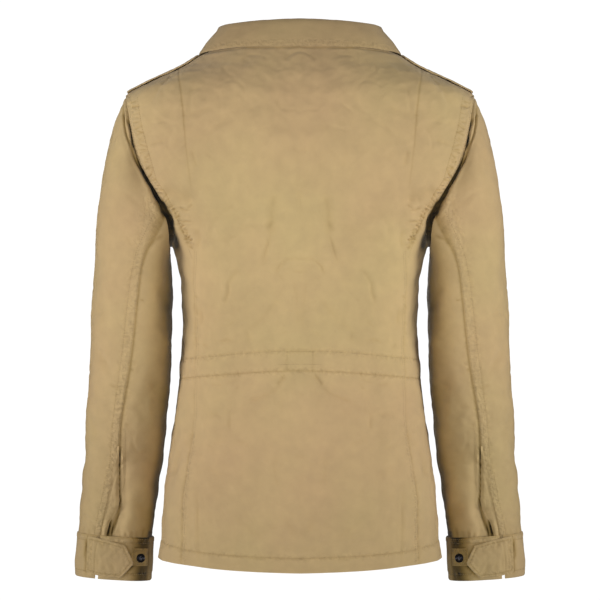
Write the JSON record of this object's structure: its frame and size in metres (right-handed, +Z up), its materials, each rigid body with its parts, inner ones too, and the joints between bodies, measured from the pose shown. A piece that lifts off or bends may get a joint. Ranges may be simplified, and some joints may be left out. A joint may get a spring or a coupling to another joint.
{
  "type": "field jacket",
  "caption": "Hip-length cotton field jacket in worn shape: shirt collar, fly front, shoulder straps, waist casing, set-in sleeves and cuffs with pointed tabs. Hollow, no wearer.",
  "frame": {"origin": "centre of the neck base, where a wearer's neck and shoulders carry the jacket", "axes": "+Z up, the wearer faces -Y, the wearer's left is +X"},
  "size_m": [0.6142, 0.2571, 0.7568],
  "materials": {
    "jacket_cloth": "matt cotton twill, sand to olive tan",
    "button_metal": "dark gunmetal, satin"
  },
  "bodies": {
    "root": {"back": "jacket_cloth", "back_side_left": "jacket_cloth", "back_side_right": "jacket_cloth", "front_left": "jacket_cloth", "front_right": "jacket_cloth", "placket": "jacket_cloth", "collar": "jacket_cloth", "sleeve_top_left": "jacket_cloth", "sleeve_top_right": "jacket_cloth", "sleeve_under_left": "jacket_cloth", "sleeve_under_right": "jacket_cloth", "cuff_left": "jacket_cloth", "cuff_right": "jacket_cloth", "cuff_tab_left": "jacket_cloth", "cuff_tab_right": "jacket_cloth", "cuff_patch_left": "jacket_cloth", "cuff_patch_right": "jacket_cloth", "epaulette_left": "jacket_cloth", "epaulette_right": "jacket_cloth", "waist_casing": "jacket_cloth", "waist_tack": "jacket_cloth", "cuff_button_left": "button_metal", "cuff_button_right": "button_metal", "front_button_1": "button_metal", "front_button_2": "button_metal", "front_button_3": "button_metal", "front_button_4": "button_metal", "front_button_5": "button_metal"}
  },
  "joints": []
}
